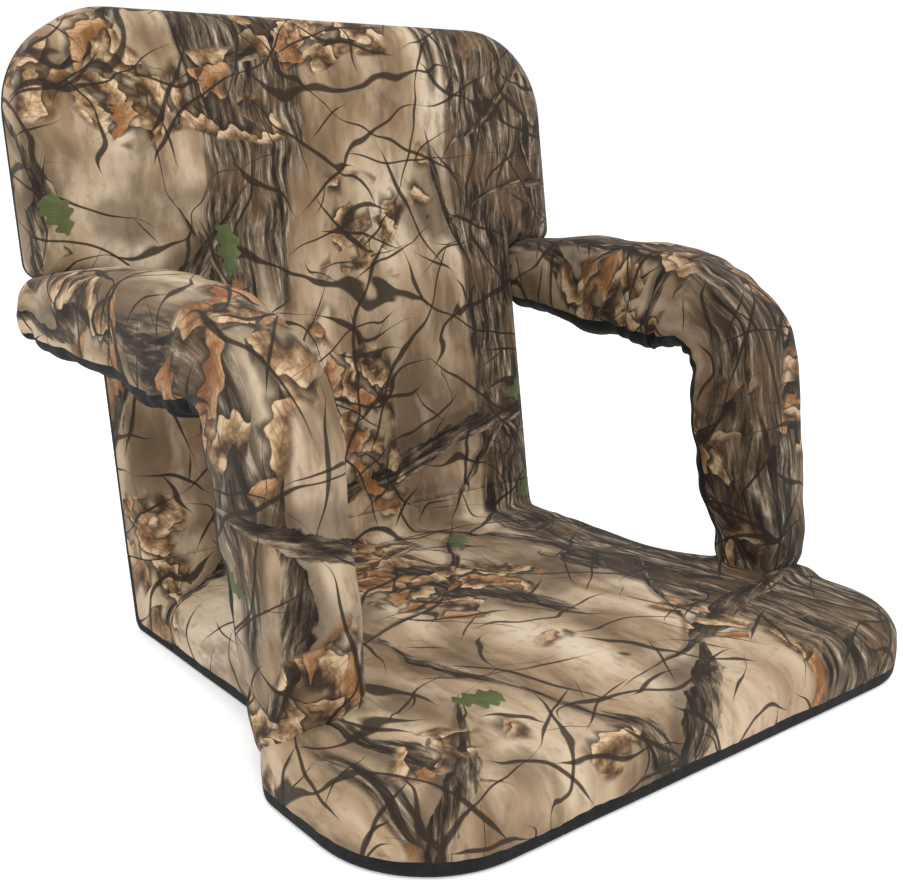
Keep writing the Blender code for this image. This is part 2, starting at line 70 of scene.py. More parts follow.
B = np.array(JOINTS["left_arm_pivot"]["pos_m"][1:])
C = np.array(JOINTS["left_elbow"]["pos_m"][1:])
SEAT_END = A[0] - 0.030
BACK_FOOT = (A[1] - (BACK_T - 0.006) * math.sin(RECLINE)) / math.cos(RECLINE) + 0.030

TWO_PI = 2 * math.pi
PRINT_GAIN = (0.70, 0.65, 0.59)   # from the print's colours as lit to the cloth's own


# ---- node graphs --------------------------------------------------------------------------
class Graph:
    """Short way to write a material's node graph. An input named i0, i1... goes by number."""

    def __init__(self, name, roughness=0.9, sheen=0.0):
        self.material = bpy.data.materials.new(name)
        self.material.use_nodes = True
        self.tree = self.material.node_tree
        self.shader = self.tree.nodes["Principled BSDF"]
        self.shader.inputs["Roughness"].default_value = roughness
        self.shader.inputs["Sheen Weight"].default_value = sheen
        self.shader.inputs["Specular IOR Level"].default_value = 0.25

    def node(self, kind, outputs=0, settings=None, **inputs):
        made = self.tree.nodes.new(kind)
        for key, value in (settings or {}).items():
            setattr(made, key, value)
        for key, value in inputs.items():
            numbered = key[0] == "i" and key[1:].isdigit()
            self.put(made.inputs[int(key[1:]) if numbered else key], value)
        return made.outputs[outputs]

    def put(self, socket, value):
        if isinstance(value, bpy.types.NodeSocket):
            self.tree.links.new(value, socket)
        elif hasattr(socket, "default_value"):
            if socket.type == "RGBA" and len(value) == 3:
                value = (*value, 1.0)
            socket.default_value = value

    def math(self, operation, first, second=0.0, third=0.0):
        settings = {"operation": operation}
        return self.node("ShaderNodeMath", settings=settings, i0=first, i1=second, i2=third)

    def vector(self, operation, first, second):
        settings = {"operation": operation}
        return self.node("ShaderNodeVectorMath", settings=settings, i0=first, i1=second)

    def times(self, vector, factor):
        settings = {"operation": "SCALE"}
        return self.node("ShaderNodeVectorMath", settings=settings, i0=vector, Scale=factor)

    def scaled(self, vector, x, y, z=1.0):
        return self.vector("MULTIPLY", vector, (x, y, z))

    def moved(self, vector, x, y, z=0.0):
        return self.vector("ADD", vector, (x, y, z))

    def turned(self, vector, angle):
        return self.node(
            "ShaderNodeVectorRotate", settings={"rotation_type": "Z_AXIS"},
            Vector=vector, Angle=angle,
        )

    def noise(self, vector, scale, detail=3.0, roughness=0.5, distortion=0.0, colour=False):
        return self.node(
            "ShaderNodeTexNoise", "Color" if colour else 0, {"noise_dimensions": "2D"},
            Vector=vector, Scale=scale, Detail=detail, Roughness=roughness,
            Distortion=distortion,
        )

    def step(self, value, low, high, top=1.0):
        """0 below low, top above high, smooth between; low may be above high."""
        start, end = 0.0, top
        if low > high:
            low, high, start, end = high, low, top, 0.0
        return self.node(
            "ShaderNodeMapRange", settings={"interpolation_type": "SMOOTHSTEP"},
            i0=value, i1=low, i2=high, i3=start, i4=end,
        )

    def mix(self, factor, first, second, blend="MIX"):
        made = self.tree.nodes.new("ShaderNodeMix")
        made.data_type = "RGBA"
        made.blend_type = blend
        self.put(made.inputs[0], factor)
        self.put(made.inputs[6], first)
        self.put(made.inputs[7], second)
        return made.outputs[2]

    def ramp(self, value, stops):
        """Colours along a value, from (place, colour) stops."""
        made = self.tree.nodes.new("ShaderNodeValToRGB")
        elements = made.color_ramp.elements
        while len(elements) < len(stops):
            elements.new(0.5)
        for element, (place, colour) in zip(elements, stops):
            element.position = place
            element.color = (*colour, 1.0)
        self.put(made.inputs[0], value)
        return made.outputs[0]

    def print_coordinates(self):
        """Where each point lies on the flat cloth, in metres, from the mesh's own attribute."""
        return self.node("ShaderNodeAttribute", "Vector", {"attribute_name": "print"})


def rgb(red, green, blue):
    """Linear colour from 0-255 display values."""
    def linear(value):
        value /= 255
        return value / 12.92 if value <= 0.04045 else ((value + 0.055) / 1.055) ** 2.4
    return tuple(linear(value) for value in (red, green, blue))


def weave_height(graph, place, threads):
    """Plain weave: height of alternating threads, `threads` to the metre."""
    grid = graph.times(place, threads * math.pi)
    split = graph.node("ShaderNodeSeparateXYZ", 0, Vector=grid)
    across = graph.math("SINE", split)
    along = graph.math("SINE", split.node.outputs[1])
    return graph.math("MULTIPLY", across, along)


def woven(graph, place, threads, strength, distance):
    """Gives the material its weave and small folds as a bump."""
    folds = graph.noise(place, 90.0, 3.0)
    height = graph.math("MULTIPLY_ADD", weave_height(graph, place, threads), 0.35, folds)
    bump = graph.node("ShaderNodeBump", Height=height, Strength=strength, Distance=distance)
    graph.put(graph.shader.inputs["Normal"], bump)


def leaf_layer(graph, place, scale, length, width, spin, seed, tilt=1.0):
    """Scattered lobed leaves, one to a cell.

    Returns their mask, the place across the blade, the veins' mask, the cell's random colour
    and a measure that grows outwards, about 1 at the leaf's edge.
    """
    where = graph.moved(graph.scaled(place, scale, scale), *seed)
    cells = graph.node(
        "ShaderNodeTexVoronoi", "Position", {"voronoi_dimensions": "2D"},
        Vector=where, Scale=1.0,
    )
    colour = cells.node.outputs["Color"]
    chance = graph.node("ShaderNodeSeparateColor", 0, Color=colour)
    local = graph.vector("SUBTRACT", where, cells)
    angle = graph.math("MULTIPLY_ADD", chance, tilt * 6.2832, spin)
    split = graph.node("ShaderNodeSeparateXYZ", 0, Vector=graph.turned(local, angle))
    along, across = split, split.node.outputs[1]
    across = graph.math("MULTIPLY_ADD", graph.math("MULTIPLY", along, along), 0.9, across)
    reach = graph.math("DIVIDE", along, length * scale)
    lobes = graph.math("SINE", graph.math("MULTIPLY", along, 13.0 / (length * scale)))
    taper = graph.math("MULTIPLY_ADD", reach, -0.42, 1.0)
    taper = graph.math("MULTIPLY_ADD", lobes, 0.24, taper)
    wide = graph.math("DIVIDE", across, graph.math("MULTIPLY", taper, width * scale))
    inside = graph.math(
        "ADD", graph.math("POWER", graph.math("ABSOLUTE", reach), 2.0),
        graph.math("POWER", graph.math("ABSOLUTE", wide), 1.6),
    )
    inside = graph.math("MULTIPLY_ADD", graph.noise(place, 110.0, 2.0), 0.9, inside)
    inside = graph.math("SUBTRACT", inside, 0.45)
    blade = graph.step(inside, 1.02, 0.86)
    rib = graph.step(graph.math("ABSOLUTE", wide), 0.10, 0.02)
    veins = graph.math("ADD", reach, graph.math("MULTIPLY", graph.math("ABSOLUTE", wide), 0.28))
    veins = graph.step(graph.math("SINE", graph.math("MULTIPLY", veins, 34.0)), 0.55, 0.98)
    return blade, wide, graph.math("MAXIMUM", rib, veins), colour, inside


def stems(graph, place, degrees, spacing, sway, seed, share, girth):
    """Long wandering stems side by side, each growing and dying away along its run.

    Returns the distance from the nearest stem's middle over its half thickness, and
    coordinates whose second axis runs along the stems.
    """
    run = graph.turned(graph.moved(place, *seed), math.radians(degrees))
    split = graph.node("ShaderNodeSeparateXYZ", 0, Vector=run)
    along = split.node.outputs[1]
    wander = graph.noise(graph.scaled(run, 1.0, 0.55), 13.0, 2.5, 0.42)
    lanes = graph.math("DIVIDE", graph.math("MULTIPLY_ADD", wander, sway, split), spacing)
    number = graph.math("FLOOR", lanes)
    across = graph.math("SUBTRACT", graph.math("SUBTRACT", lanes, number), 0.5)
    own = graph.node("ShaderNodeCombineXYZ", X=graph.math("MULTIPLY", number, 3.73), Y=along)
    grown = graph.noise(graph.scaled(own, 1.0, 0.5 / spacing), 1.0, 1.5)
    grown = graph.step(grown, share, share + 0.22)
    thick = graph.math("MULTIPLY_ADD", grown, girth / spacing, 0.00001)
    return graph.math("DIVIDE", across, thick), run


LIMBS = (                         # degrees, spacing, sway, seed, share, girth
    (-17.0, 0.125, 0.10, (2.7, 6.1), 0.42, 0.0125),
    (38.0, 0.170, 0.05, (7.9, 3.3), 0.42, 0.0105),
    (74.0, 0.190, 0.05, (0.9, 4.4), 0.45, 0.0090),
)
TWIGS = (                         # the same
    (-33.0, 0.044, 0.09, (1.2, 8.8), 0.44, 0.0021),
    (24.0, 0.050, 0.10, (6.6, 0.4), 0.45, 0.0023),
    (62.0, 0.046, 0.09, (4.1, 2.2), 0.44, 0.0019),
    (-68.0, 0.052, 0.09, (3.7, 9.9), 0.45, 0.0021),
    (88.0, 0.070, 0.10, (8.3, 5.9), 0.47, 0.0025),
)
DEAD_LEAVES = (                   # scale, length, width, spin, seed
    (16.0, 0.044, 0.0125, 0.4, (3.1, 4.2)),
    (20.0, 0.036, 0.0105, 1.9, (8.4, 1.1)),
    (28.0, 0.026, 0.0080, 2.8, (5.5, 7.7)),
)
# the same, and the share of a turn that they vary by
GREEN_LEAVES = (8.0, 0.021, 0.010, 1.2, (2.2, 6.3), 0.35)


def camouflage(name, offset, bark_level, bark_from=None, leafy=0.0, gain=1.0):
    """Generic woodland print: trunks, limbs, twigs, dead leaves and a few green ones.

    Bark shows where its noise is over bark_level. bark_from is the print's x beyond which bark
    covers everything, leafy makes the dead leaves' clusters larger, gain scales the brightness.
    """
    g = Graph(name, roughness=0.90, sheen=0.04)
    place = g.print_coordinates()
    flat = g.moved(place, *offset)
    drift = g.noise(flat, 9.0, 2.0, colour=True)
    drift = g.times(g.moved(drift, -0.5, -0.5, -0.5), 0.035)
    bent = g.vector("ADD", flat, drift)
    eased = g.vector("ADD", flat, g.scaled(drift, 0.35, 0.35))

    # soft ground with faint upright streaks
    tone = g.noise(g.scaled(bent, 1.0, 0.30), 16.0, 4.0, 0.55)
    ground = g.ramp(tone, [
        (0.26, rgb(112, 91, 69)), (0.38, rgb(148, 126, 100)), (0.50, rgb(184, 163, 137)),
        (0.62, rgb(216, 199, 176)), (0.78, rgb(236, 224, 206)),
    ])
    patches = g.step(g.noise(g.moved(flat, 4.3, 1.7), 9.0, 3.0), 0.52, 0.68, 0.75)
    ground = g.mix(patches, ground, rgb(112, 94, 74))
    paint = g.noise(g.scaled(g.moved(eased, 2.2, 0.6), 1.0, 0.40), 26.0, 4.0, 0.6)
    ground = g.mix(g.step(paint, 0.50, 0.74, 0.45), ground, rgb(226, 210, 188))
    ground = g.mix(g.step(paint, 0.46, 0.30, 0.55), ground, rgb(104, 86, 66))
    dust = g.noise(g.scaled(bent, 1.0, 0.6), 140.0, 4.0, 0.6)
    ground = g.mix(g.step(dust, 0.52, 0.72, 0.30), ground, rgb(120, 100, 78))

    # bark of upright trunks
    band = g.noise(g.scaled(g.moved(bent, 9.1, 2.0), 1.0, 0.14), 8.5, 2.0, 0.5)
    bark_mask = g.step(band, bark_level, bark_level + 0.05)
    if bark_from is not None:
        sideways = g.node("ShaderNodeSeparateXYZ", 0, Vector=g.vector("ADD", place, drift))
        on_seat = g.step(sideways.node.outputs[1], 0.22, 0.05, -0.020)
        beyond = g.step(g.math("SUBTRACT", sideways, on_seat), bark_from, bark_from + 0.008)
        bark_mask = g.math("MAXIMUM", bark_mask, beyond)
    ragged = g.noise(g.scaled(bent, 1.0, 0.13), 170.0, 5.0, 0.7)
    cracks = g.noise(g.scaled(g.moved(bent, 3.0, 8.0), 1.0, 0.12), 80.0, 3.0, 0.6, 0.6)
    bark = g.ramp(ragged, [
        (0.36, rgb(34, 26, 18)), (0.45, rgb(76, 66, 54)), (0.53, rgb(108, 97, 82)),
        (0.61, rgb(150, 136, 119)), (0.70, rgb(205, 196, 182)),
    ])
    bark = g.mix(g.step(cracks, 0.55, 0.63, 0.88), bark, rgb(34, 27, 20))
    tint = g.step(g.noise(g.moved(flat, 1.3, 5.5), 17.0, 2.0), 0.52, 0.70, 0.50)
    bark = g.mix(tint, bark, rgb(116, 90, 62))
    colour = g.mix(bark_mask, ground, bark)

    # thick limbs, lit from one side, with bark of their own
    for layer in LIMBS:
        side, run = stems(g, eased, *layer)
        rough_edge = g.math("MULTIPLY_ADD", g.noise(eased, 95.0, 2.0), 0.7, -0.35)
        body = g.step(g.math("ADD", g.math("ABSOLUTE", side), rough_edge), 1.0, 0.88)
        grain = g.noise(g.scaled(run, 1.0, 0.16), 230.0, 4.0, 0.65)
        shade = g.math("MULTIPLY_ADD", side, 0.20, g.math("MULTIPLY_ADD", grain, 1.5, -0.30))
        limb = g.ramp(shade, [
            (0.18, rgb(30, 24, 18)), (0.38, rgb(60, 51, 41)), (0.56, rgb(100, 88, 73)),
            (0.78, rgb(164, 150, 131)),
        ])
        shadow = g.step(g.math("ABSOLUTE", g.math("ADD", side, 0.7)), 2.0, 0.7, 0.60)
        colour = g.mix(shadow, colour, rgb(76, 60, 45))
        colour = g.mix(body, colour, limb)

    # dead leaves in clusters, over their own soft shadow
    clusters = g.step(g.noise(g.moved(flat, 5.2, 9.4), 7.5, 2.0), 0.545 - leafy, 0.585 - leafy)
    if bark_from is not None:
        clusters = g.math("MULTIPLY", clusters, g.math("MULTIPLY_ADD", beyond, -0.85, 1.0))
    for layer in DEAD_LEAVES:
        blade, wide, veins, chance, inside = leaf_layer(g, bent, *layer)
        shadow = g.step(inside, 2.6, 0.9, 0.80)
        kept = g.step(g.node("ShaderNodeSeparateColor", 2, Color=chance), 0.30, 0.34)
        clusters_here = g.math("MULTIPLY", clusters, kept)
        colour = g.mix(g.math("MULTIPLY", shadow, clusters_here), colour, rgb(48, 37, 27))
        mottled = g.noise(bent, 60.0, 3.0, 0.6)
        shade = g.math("MULTIPLY_ADD", wide, 0.20, mottled)
        leaf = g.ramp(shade, [
            (0.30, rgb(70, 52, 36)), (0.42, rgb(128, 101, 74)), (0.54, rgb(176, 147, 113)),
            (0.68, rgb(226, 202, 170)),
        ])
        warm = g.node("ShaderNodeSeparateColor", 1, Color=chance)
        leaf = g.mix(g.step(warm, 0.45, 0.85, 0.55), leaf, rgb(176, 118, 68))
        leaf = g.mix(g.math("MULTIPLY", veins, 0.34), leaf, rgb(84, 60, 40))
        colour = g.mix(g.math("MULTIPLY", blade, clusters_here), colour, leaf)

    # thin twigs
    for layer in TWIGS:
        side, _ = stems(g, eased, *layer)
        line = g.step(g.math("ABSOLUTE", side), 1.25, 0.60, 0.92)
        colour = g.mix(line, colour, rgb(48, 38, 29))

    # a few green leaves
    blade, wide, veins, chance, _ = leaf_layer(g, bent, *GREEN_LEAVES)
    rare = g.step(g.node("ShaderNodeSeparateColor", 2, Color=chance), 0.66, 0.70)
    green = g.ramp(g.math("MULTIPLY_ADD", wide, 0.22, 0.5), [
        (0.2, rgb(70, 80, 44)), (0.6, rgb(94, 110, 68)), (0.9, rgb(130, 146, 104)),
    ])
    green = g.mix(g.math("MULTIPLY", veins, 0.12), green, rgb(140, 152, 112))
    green = g.mix(g.step(g.noise(bent, 60.0, 3.0), 0.45, 0.65, 0.55), green, rgb(84, 84, 56))
    colour = g.mix(g.math("MULTIPLY", blade, rare), colour, green)

    # gain darkens the whole print; the left armrest's gain of 0.80 is painted shade
    colour = g.mix(1.0, colour, tuple(gain * share for share in PRINT_GAIN), "MULTIPLY")
    g.put(g.shader.inputs["Base Color"], colour)
    woven(g, place, 1300.0, 0.35, 0.0006)
    return g.material


def black_cloth(name, tone):
    """Woven dark cloth, a little worn in places."""
    g = Graph(name, roughness=0.8, sheen=0.03)
    g.shader.inputs["Specular IOR Level"].default_value = 0.12
    place = g.print_coordinates()
    worn = g.noise(place, 40.0, 4.0, 0.6)
    colour = g.ramp(worn, [(0.3, (tone * 0.7,) * 3), (0.7, (tone * 1.6,) * 3)])
    g.put(g.shader.inputs["Base Color"], colour)
    woven(g, place, 900.0, 0.6, 0.0008)
    return g.material


CAMO = camouflage("woodland_print", (0.35, 0.2), 0.60, 0.132)
# gain=0.80 darkens all of the left armrest's print: painted shade for its shadowed sides
CAMO_BARK = camouflage("woodland_print_bark", (1.7, 0.9), 0.36, leafy=0.01, gain=0.80)
CAMO_LEAFY = camouflage("woodland_print_leafy", (0.6, 2.3), 0.56, leafy=0.035, gain=0.94)
BLACK = black_cloth("black_oxford", 0.006)
BAND = black_cloth("binding", 0.008)


# ---- meshes -------------------------------------------------------------------------------
GRID = 0.0035                     # spacing of the cushions' points
WAVES = 14                        # plane waves in one Waves
CORNER_STEPS = 16                 # steps round a corner of an outline
RIM_STEPS = 9                     # steps over an upper rim
LOW_RIM_STEPS = 5                 # steps over a lower one
FAR = 9.0                         # further than any two points here
CHUNK = 100                       # points of an outline measured at a time


def make_object(name, points, faces, print_places, face_materials, materials):
    """Mesh object with each point's place on the cloth in its "print" attribute."""
    mesh = bpy.data.meshes.new(name)
    mesh.from_pydata([tuple(p) for p in points], [], [tuple(f) for f in faces])
    for item in materials:
        mesh.materials.append(item)
    mesh.polygons.foreach_set("material_index", np.asarray(face_materials, dtype=np.int32))
    layer = mesh.attributes.new("print", "FLOAT_VECTOR", "POINT")
    places = np.zeros((len(points), 3))
    places[:, :2] = print_places
    layer.data.foreach_set("vector", places.ravel())
    mesh.validate()
    mesh.shade_smooth()
    made = bpy.data.objects.new(name, mesh)
    bpy.context.scene.collection.objects.link(made)
    return made


def smooth(value, low, high):
    """0 at low, 1 at high, smooth between."""
    t = np.clip((np.asarray(value, dtype=float) - low) / (high - low), 0, 1)
    return t * t * (3 - 2 * t)


class Waves:
    """Smooth deterministic noise from a sum of plane waves."""

    def __init__(self, wavelength, seed, stretch=(1.0, 1.0)):
        source = np.random.default_rng(seed)
        angle = source.uniform(0, TWO_PI, WAVES)
        size = TWO_PI / (wavelength * source.uniform(0.7, 1.6, WAVES))
        self.k = np.stack(
            [np.cos(angle) * size * stretch[0], np.sin(angle) * size * stretch[1]], 1,
        )
        self.phase = source.uniform(0, TWO_PI, WAVES)

    def __call__(self, u, v):
        u, v = np.asarray(u, float), np.asarray(v, float)
        total = np.sin(
            u[..., None] * self.k[:, 0] + v[..., None] * self.k[:, 1] + self.phase
        ).sum(-1)
        return total / math.sqrt(WAVES / 2)


def even_outline(corners, spacing):
    """Evenly spaced outline, anticlockwise, through (x, y, radius) corners; outward normals."""
    points = []
    for index, (x, y, radius) in enumerate(corners):
        here = np.array((x, y), float)
        if radius == 0:
            points.append(here)
            continue
        before = np.array(corners[index - 1][:2]) - here
        after = np.array(corners[(index + 1) % len(corners)][:2]) - here
        before /= np.linalg.norm(before)
        after /= np.linalg.norm(after)
        half = math.acos(np.clip(before @ after, -1, 1)) / 2
        middle = before + after
        centre = here + middle / np.linalg.norm(middle) * (radius / math.sin(half))
        first = here + before * (radius / math.tan(half)) - centre
        last = here + after * (radius / math.tan(half)) - centre
        turn = math.atan2(first[0] * last[1] - first[1] * last[0], first @ last)
        for k in range(CORNER_STEPS + 1):
            angle = turn * k / CORNER_STEPS
            c, s = math.cos(angle), math.sin(angle)
            points.append(centre + np.array(
                (c * first[0] - s * first[1], s * first[0] + c * first[1])
            ))
    points = np.array(points)
    closed = np.vstack([points, points[:1]])
    lengths = np.concatenate([[0], np.cumsum(np.linalg.norm(np.diff(closed, axis=0), axis=1))])
    count = int(lengths[-1] / spacing)
    at = np.linspace(0, lengths[-1], count, endpoint=False)
    even = np.stack([np.interp(at, lengths, closed[:, k]) for k in (0, 1)], 1)
    area = np.sum(even[:, 0] * np.roll(even[:, 1], -1) - even[:, 1] * np.roll(even[:, 0], -1))
    if area < 0:
        even = even[::-1].copy()
    run = np.roll(even, -2, 0) - np.roll(even, 2, 0)
    run /= np.linalg.norm(run, axis=1)[:, None]
    return even, np.stack([run[:, 1], -run[:, 0]], 1)


def inside_points(outline, margin, spacing):
    """Grid points at least `margin` inside a closed outline."""
    low, high = outline.min(0), outline.max(0)
    xs = np.arange(low[0] + spacing / 2, high[0], spacing)
    ys = np.arange(low[1] + spacing / 2, high[1], spacing)
    grid = np.stack(np.meshgrid(xs, ys), -1).reshape(-1, 2)
    crossing = np.zeros(len(grid), dtype=int)
    for start, end in zip(outline, np.roll(outline, -1, 0)):
        if start[1] == end[1]:
            continue
        between = (grid[:, 1] >= min(start[1], end[1])) & (grid[:, 1] < max(start[1], end[1]))
        x = start[0] + (grid[:, 1] - start[1]) / (end[1] - start[1]) * (end[0] - start[0])
        crossing += between & (x > grid[:, 0])
    grid = grid[crossing % 2 == 1]
    return grid[distance_to(grid, outline) > margin]


def distance_to(points, outline):
    """Distance to the nearest point of the outline."""
    best = np.full(len(points), FAR)
    for start in range(0, len(outline), CHUNK):
        apart = points[:, None, :] - outline[None, start:start + CHUNK, :]
        best = np.minimum(best, np.sqrt((apart ** 2).sum(-1)).min(1))
    return best


def quarter(steps):
    """Angles of a quarter turn."""
    return [math.pi / 2 * k / steps for k in range(steps + 1)]


def slab(corners, thickness, band, end):
    """Cushion solid on z = 0: closed outline, flat faces, rounded rims.

    The edge at y = end stays flat, where the hinge gusset carries on. Returns points, faces,
    distance inside the outline, level (0 at the low face, 1 at the high one), print places and
    each face's material: 0 print, 1 band, 2 underside.
    """
    outline, outward = even_outline(corners, GRID)
    count = len(outline)
    at_end = np.abs(outline[:, 1] - end) < 1e-6
    near_end = ~at_end & (np.abs(outline[:, 1] - end) < 0.012)
    outward[near_end] = np.column_stack([np.sign(outline[near_end, 0]), np.zeros(near_end.sum())])
    outward[at_end] = 0.0

    def ring_at(step_in):
        ring = outline - outward * step_in
        ring[at_end, 0] *= (WAIST - step_in) / WAIST
        return ring

    across, deep = RIM
    rings = []                                   # (inset, height)
    for angle in quarter(LOW_RIM_STEPS):
        rings.append((LOW_RIM * (1 - math.sin(angle)), LOW_RIM * (1 - math.cos(angle))))
    upright = thickness - deep - LOW_RIM
    sides = int(upright / GRID)
    for k in range(1, sides):
        rings.append((0.0, LOW_RIM + upright * k / sides))
    for angle in quarter(RIM_STEPS):
        rings.append((across * (1 - math.cos(angle)), thickness - deep + deep * math.sin(angle)))
    points, places, inset = [], [], []
    lengths = [0.0]
    for (i0, z0), (i1, z1) in zip(rings, rings[1:]):
        lengths.append(lengths[-1] + math.hypot(i1 - i0, z1 - z0))
    for (step_in, height), length in zip(rings, lengths):
        points.append(np.column_stack([ring_at(step_in), np.full(count, height)]))
        places.append(ring_at(across) + outward * (lengths[-1] - length))
        inset.append(np.full(count, step_in))
    faces, kinds = [], []
    for k in range(len(rings) - 1):
        for j in range(count):
            n = (j + 1) % count
            faces.append((k * count + j, k * count + n, (k + 1) * count + n, (k + 1) * count + j))
            kinds.append(1 if (rings[k][1] + rings[k + 1][1]) / 2 < band else 0)
    base = len(rings) * count
    for step_in, height, first, kind, flip in (
        (LOW_RIM, 0.0, 0, 2, True), (across, thickness, (len(rings) - 1) * count, 0, False),
    ):
        edge = ring_at(step_in)
        grid = inside_points(edge, GRID * 0.6, GRID)
        both = [Vector(p) for p in edge] + [Vector(p) for p in grid]
        loop = [(j, (j + 1) % count) for j in range(count)]
        found, _, triangles, origin, _, _ = delaunay_2d_cdt(both, loop, [], 1, 1e-7)
        index = [
            first + sources[0] if sources and sources[0] < count else -1 for sources in origin
        ]
        extra = [k for k, place in enumerate(index) if place < 0]
        for offset, k in enumerate(extra):
            index[k] = base + offset
        flat = np.array([found[k] for k in extra])
        points.append(np.column_stack([flat, np.full(len(flat), height)]))
        places.append(flat)
        inset.append(distance_to(flat, outline))
        base += len(flat)
        for triangle in triangles:
            corner = [index[k] for k in triangle]
            faces.append(tuple(reversed(corner)) if flip else tuple(corner))
            kinds.append(kind)
    points = np.vstack(points)
    level = points[:, 2] / thickness
    return points, faces, np.concatenate(inset), level, np.vstack(places), kinds


def back_matrix():
    """From the back's own x, up and ahead to the frame."""
    return Matrix.Translation((0, REAR, 0)) @ Matrix.Rotation(math.pi / 2 - RECLINE, 4, "X")


def mirrored(right):
    """Corners of the right half, then of the left."""
    return right + [(-x, y, radius) for x, y, radius in reversed(right)]


COLLAR_X = 0.197                  # the seat rises round each post's foot, from this x outwards
COLLAR_FRONT = -0.112
COLLAR_REAR = -0.052
COLLAR_RISE = 0.006
COLLAR_EASE = 0.010


def seat_cushion():
    """Crowned seat pad: rises at the crease and at the posts' feet, puckers at its binding."""
    corners = mirrored([
        (WAIST, SEAT_END, 0.0), (WAIST, 0.010, 0.10), (HALF, -0.082, 0.040), (HALF, FRONT, 0.080),
    ])
    points, faces, inset, level, places, kinds = slab(corners, SEAT_TOP, SEAT_BAND, SEAT_END)
    x, y = points[:, 0], points[:, 1]
    away = smooth(SEAT_END - y, 0.0, 0.05)
    dome = smooth(inset, 0.0, 0.12)
    lumps = Waves(0.13, seed=3)(x, y) * 0.0011 + Waves(0.05, seed=4)(x, y) * 0.0004
    top = smooth(level, 0.45, 0.9)
    points[:, 2] += top * away * (0.0035 * dome + lumps * smooth(inset, 0.0, 0.05))
    rear = np.exp(-((SEAT_END - y) / 0.07) ** 2) * smooth(SEAT_END - y, 0.0, 0.012)
    points[:, 2] += top * rear * smooth(inset, 0.0, 0.03) * (
        0.0012 + 0.0016 * Waves(0.036, seed=7, stretch=(0.45, 1.3))(x, y)
    )
    aside = np.maximum.reduce([COLLAR_X - np.abs(x), COLLAR_FRONT - y, y - COLLAR_REAR, 0 * x])
    collar = np.exp(-(aside / COLLAR_EASE) ** 2)
    points[:, 2] += smooth(level, 0.35, 0.95) * COLLAR_RISE * collar
    outward = places - points[:, :2]
    size = np.linalg.norm(outward, axis=1)
    outward[size > 1e-6] /= size[size > 1e-6, None]
    belly = np.sin(np.clip(level * 1.25, 0, 1) * math.pi) * (inset < 0.03) * away
    pucker = Waves(0.013, seed=5)(x, y) * 0.00035
    pucker += Waves(0.06, seed=6)(x, y) * 0.0006
    points[:, :2] += outward * (belly * (0.0015 + pucker))[:, None]
    made = make_object("seat_cushion", points, faces, places, kinds, [CAMO, BAND, BLACK])
    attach(made, "seat")
    return made


def back_cushion():
    """Crowned back pad, gathered at its foot. Its print carries on from the gusset's."""
    corners = mirrored([
        (HALF, BACK_H, 0.082), (HALF, SHOULDER, 0.014), (WAIST, SHOULDER, 0.006),
        (WAIST, BACK_FOOT, 0.0),
    ])
    points, faces, inset, level, places, kinds = slab(corners, BACK_T, BACK_BAND, BACK_FOOT)
    x, y = points[:, 0], points[:, 1]
    away = smooth(y - BACK_FOOT, 0.0, 0.05)
    dome = smooth(inset, 0.0, 0.10)
    lumps = Waves(0.16, seed=13)(x, y) * 0.0012 + Waves(0.06, seed=14)(x, y) * 0.0004
    top = smooth(level, 0.45, 0.9)
    points[:, 2] += top * away * (0.003 * dome + lumps * smooth(inset, 0.0, 0.05))
    low_down = np.exp(-((y - BACK_FOOT) / 0.06) ** 2) * smooth(y - BACK_FOOT, 0.0, 0.012)
    points[:, 2] += top * low_down * smooth(inset, 0.0, 0.03) * (
        0.0022 + 0.0020 * Waves(0.034, seed=15, stretch=(0.45, 1.3))(x, y)
    )
    world = np.array(back_matrix())
    points = points @ world[:3, :3].T + world[:3, 3]
    places = places + np.array((0.0, SEAT_END + crease_line()[1][-1] - BACK_FOOT))
    made = make_object("back_cushion", points, faces, places, kinds, [CAMO, BAND, BLACK])
    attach(made, "back")
    return made


def on_back(up, ahead):
    """y and z of a point of the back, from its distance up from the heel and ahead of the rear."""
    sine, cosine = math.sin(RECLINE), math.cos(RECLINE)
    return np.array((REAR + up * sine - ahead * cosine, up * cosine + ahead * sine))


def smooth_curve(path):
    """Smooth curve through 2D points, finely sampled."""
    path = np.asarray(path, float)
    padded = np.vstack([2 * path[0] - path[1], path, 2 * path[-1] - path[-2]])
    fine = []
    for k in range(1, len(padded) - 2):
        p0, p1, p2, p3 = padded[k - 1:k + 3]
        for t in np.linspace(0, 1, 16, endpoint=False):
            fine.append(0.5 * (
                2 * p1 + (p2 - p0) * t + (2 * p0 - 5 * p1 + 4 * p2 - p3) * t ** 2
                + (3 * p1 - p0 - 3 * p2 + p3) * t ** 3
            ))
    fine.append(path[-1])
    return np.array(fine)


def arc_points(centre, start, end, count):
    """Points of the arc round centre from start to end."""
    first, last = start - centre, end - centre
    radius = (np.linalg.norm(first) + np.linalg.norm(last)) / 2
    a0, a1 = math.atan2(first[1], first[0]), math.atan2(last[1], last[0])
    turn = (a1 - a0 + math.pi) % TWO_PI - math.pi
    return [
        centre + radius * np.array((math.cos(a0 + turn * t), math.sin(a0 + turn * t)))
        for t in np.linspace(0, 1, count)
    ]


def evenly(path, steps):
    """Evenly spaced points along a path, and their distances along it."""
    path = np.array(path)
    lengths = np.concatenate([[0], np.cumsum(np.linalg.norm(np.diff(path, axis=0), axis=1))])
    at = np.linspace(0, lengths[-1], steps)
    return np.stack([np.interp(at, lengths, path[:, k]) for k in (0, 1)], 1), at


GUSSET_STEPS = 48                 # sections from the seat's end to the back's foot
CREASE_RADIUS = 0.007
HEEL_RADIUS = 0.010               # behind the crease, where seat and back meet the ground


